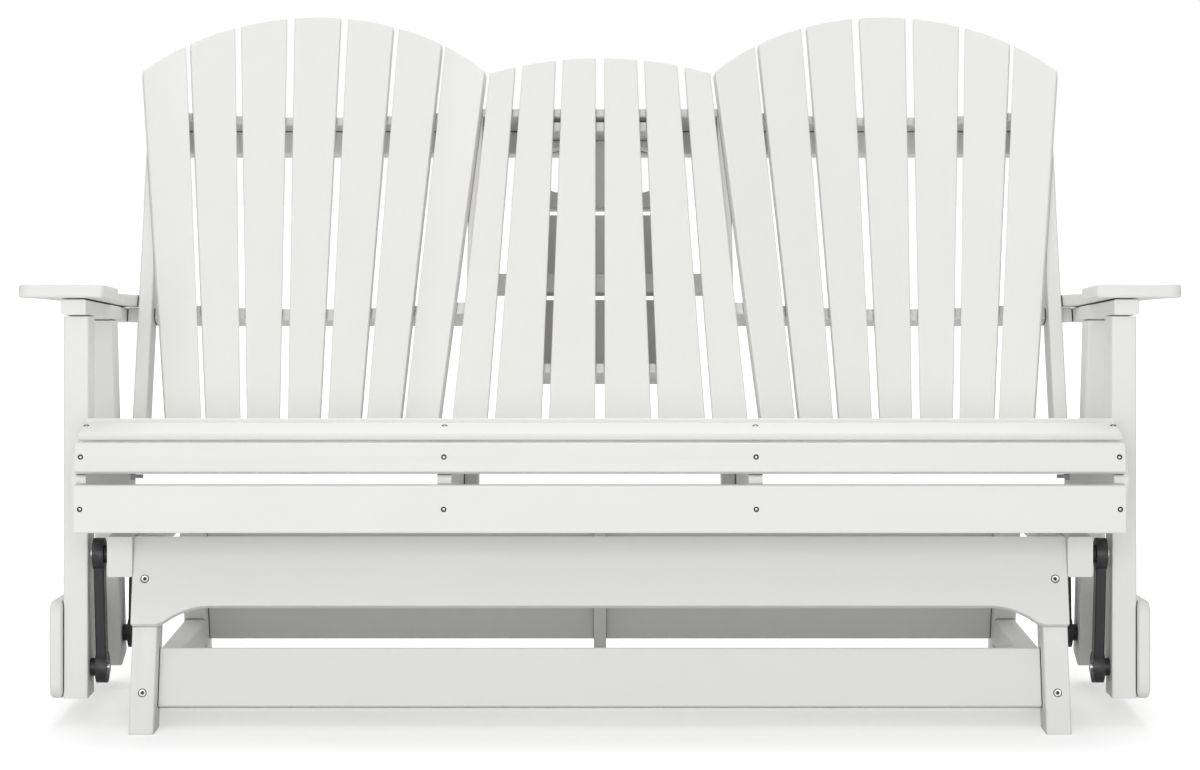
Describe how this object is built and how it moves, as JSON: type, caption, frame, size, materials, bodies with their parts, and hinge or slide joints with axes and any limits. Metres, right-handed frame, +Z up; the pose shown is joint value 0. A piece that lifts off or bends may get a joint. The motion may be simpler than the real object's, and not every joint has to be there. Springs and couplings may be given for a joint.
{
  "type": "outdoor glider loveseat",
  "caption": "Slatted outdoor glider bench with two fan backs, a middle back that folds down as a table with cup holes, and a seat hung from swinging arms.",
  "frame": {"origin": "under the middle of the whole object, on the floor", "axes": "X from the sitter's right to left as seen from the front (the sitter's left hand is at +X), Y from front to back, Z up"},
  "size_m": [1.674, 0.798, 1.0456],
  "materials": {
    "base_leg_front_left": "white solid plastic lumber, fine matte",
    "base_leg_front_right": "white solid plastic lumber, fine matte",
    "base_leg_rear_left": "white solid plastic lumber, fine matte",
    "base_leg_rear_right": "white solid plastic lumber, fine matte",
    "base_front_skirt": "white solid plastic lumber, fine matte",
    "base_rear_skirt": "white solid plastic lumber, fine matte",
    "base_front_stretcher": "white solid plastic lumber, fine matte",
    "base_rear_stretcher": "white solid plastic lumber, fine matte",
    "base_low_rails": "white solid plastic lumber, fine matte",
    "hanger_rail_left": "white solid plastic lumber, fine matte",
    "hanger_rail_right": "white solid plastic lumber, fine matte",
    "base_centre_leg": "white solid plastic lumber, fine matte",
    "base_screws": "stainless fastener",
    "hanger_bolts": "stainless fastener",
    "hanger_collars": "satin black powder coat",
    "glide_arm_front_left": "satin black powder coat",
    "glide_arm_front_right": "satin black powder coat",
    "glide_arm_rear_left": "satin black powder coat",
    "glide_arm_rear_right": "satin black powder coat",
    "bearings_front_left": "plain turned bearing",
    "bearings_front_right": "plain turned bearing",
    "bearings_rear_left": "plain turned bearing",
    "bearings_rear_right": "plain turned bearing",
    "front_post_left": "white solid plastic lumber, fine matte",
    "front_post_right": "white solid plastic lumber, fine matte",
    "rear_post_left": "white solid plastic lumber, fine matte",
    "rear_post_right": "white solid plastic lumber, fine matte",
    "lower_side_boards": "white solid plastic lumber, fine matte",
    "arm_rails": "white solid plastic lumber, fine matte",
    "arm_blocks": "white solid plastic lumber, fine matte",
    "armrest_left": "white solid plastic lumber, fine matte",
    "armrest_right": "white solid plastic lumber, fine matte",
    "outer_stringers": "white solid plastic lumber, fine matte",
    "inner_stringers": "white solid plastic lumber, fine matte",
    "seat_apron": "white solid plastic lumber, fine matte",
    "seat_nose_slat": "white solid plastic lumber, fine matte",
    "seat_front_slat": "white solid plastic lumber, fine matte",
    "seat_slats": "white solid plastic lumber, fine matte",
    "outer_upright_left": "white solid plastic lumber, fine matte",
    "outer_upright_right": "white solid plastic lumber, fine matte",
    "inner_upright_left": "white solid plastic lumber, fine matte",
    "inner_upright_right": "white solid plastic lumber, fine matte",
    "back_top_rail": "white solid plastic lumber, fine matte",
    "back_board": "white solid plastic lumber, fine matte",
    "back_mid_rails": "white solid plastic lumber, fine matte",
    "back_low_rails": "white solid plastic lumber, fine matte",
    "fan_slats_left": "white solid plastic lumber, fine matte",
    "fan_slats_right": "white solid plastic lumber, fine matte",
    "seat_screws": "stainless fastener",
    "post_bolts": "stainless fastener",
    "pivot_bolts": "stainless fastener",
    "pivot_collars": "satin black powder coat",
    "hinge_fixed_leaves": "stainless fastener",
    "hinge_pins": "stainless fastener",
    "table_slats": "white solid plastic lumber, fine matte",
    "table_battens": "white solid plastic lumber, fine matte",
    "table_stiles": "white solid plastic lumber, fine matte",
    "table_cup_board": "white solid plastic lumber, fine matte",
    "table_boards": "white solid plastic lumber, fine matte",
    "hinge_moving_leaves": "stainless fastener"
  },
  "bodies": {
    "base": {"base_leg_front_left": "base_leg_front_left", "base_leg_front_right": "base_leg_front_right", "base_leg_rear_left": "base_leg_rear_left", "base_leg_rear_right": "base_leg_rear_right", "base_front_skirt": "base_front_skirt", "base_rear_skirt": "base_rear_skirt", "base_front_stretcher": "base_front_stretcher", "base_rear_stretcher": "base_rear_stretcher", "base_low_rails": "base_low_rails", "hanger_rail_left": "hanger_rail_left", "hanger_rail_right": "hanger_rail_right", "base_centre_leg": "base_centre_leg", "base_screws": "base_screws", "hanger_bolts": "hanger_bolts", "hanger_collars": "hanger_collars"},
    "arm_front_left": {"glide_arm_front_left": "glide_arm_front_left", "bearings_front_left": "bearings_front_left"},
    "arm_front_right": {"glide_arm_front_right": "glide_arm_front_right", "bearings_front_right": "bearings_front_right"},
    "arm_rear_left": {"glide_arm_rear_left": "glide_arm_rear_left", "bearings_rear_left": "bearings_rear_left"},
    "arm_rear_right": {"glide_arm_rear_right": "glide_arm_rear_right", "bearings_rear_right": "bearings_rear_right"},
    "seat": {"front_post_left": "front_post_left", "front_post_right": "front_post_right", "rear_post_left": "rear_post_left", "rear_post_right": "rear_post_right", "lower_side_boards": "lower_side_boards", "arm_rails": "arm_rails", "arm_blocks": "arm_blocks", "armrest_left": "armrest_left", "armrest_right": "armrest_right", "outer_stringers": "outer_stringers", "inner_stringers": "inner_stringers", "seat_apron": "seat_apron", "seat_nose_slat": "seat_nose_slat", "seat_front_slat": "seat_front_slat", "seat_slats": "seat_slats", "outer_upright_left": "outer_upright_left", "outer_upright_right": "outer_upright_right", "inner_upright_left": "inner_upright_left", "inner_upright_right": "inner_upright_right", "back_top_rail": "back_top_rail", "back_board": "back_board", "back_mid_rails": "back_mid_rails", "back_low_rails": "back_low_rails", "fan_slats_left": "fan_slats_left", "fan_slats_right": "fan_slats_right", "seat_screws": "seat_screws", "post_bolts": "post_bolts", "pivot_bolts": "pivot_bolts", "pivot_collars": "pivot_collars", "hinge_fixed_leaves": "hinge_fixed_leaves", "hinge_pins": "hinge_pins"},
    "table": {"table_slats": "table_slats", "table_battens": "table_battens", "table_stiles": "table_stiles", "table_cup_board": "table_cup_board", "table_boards": "table_boards", "hinge_moving_leaves": "hinge_moving_leaves"}
  },
  "joints": [
    {"name": "glide_front_left", "type": "hinge", "parent": "base", "child": "arm_front_left", "pos_m": [0.7265, -0.23622, 0.24823], "axis": [1, 0, 0], "range_deg": [-12, 12]},
    {"name": "glide_front_right", "type": "hinge", "parent": "base", "child": "arm_front_right", "pos_m": [-0.7265, -0.23622, 0.24823], "axis": [1, 0, 0], "range_deg": [-12, 12]},
    {"name": "glide_rear_left", "type": "hinge", "parent": "base", "child": "arm_rear_left", "pos_m": [0.7265, 0.13322, 0.24823], "axis": [1, 0, 0], "range_deg": [-12, 12]},
    {"name": "glide_rear_right", "type": "hinge", "parent": "base", "child": "arm_rear_right", "pos_m": [-0.7265, 0.13322, 0.24823], "axis": [1, 0, 0], "range_deg": [-12, 12]},
    {"name": "seat_on_arms", "type": "hinge", "parent": "arm_front_left", "child": "seat", "pos_m": [0.7265, -0.2155, 0.0795], "axis": [1, 0, 0], "range_deg": [-15, 15]},
    {"name": "table_fold", "type": "hinge", "parent": "seat", "child": "table", "pos_m": [0, 0.05452, 0.4077], "axis": [1, 0, 0], "range_deg": [0, 107]}
  ],
  "couplings": [
    {"joint": "glide_front_right", "follows": "glide_front_left", "ratio": 1},
    {"joint": "glide_rear_left", "follows": "glide_front_left", "ratio": 1},
    {"joint": "glide_rear_right", "follows": "glide_front_left", "ratio": 1},
    {"joint": "seat_on_arms", "follows": "glide_front_left", "ratio": -1.1263}
  ]
}
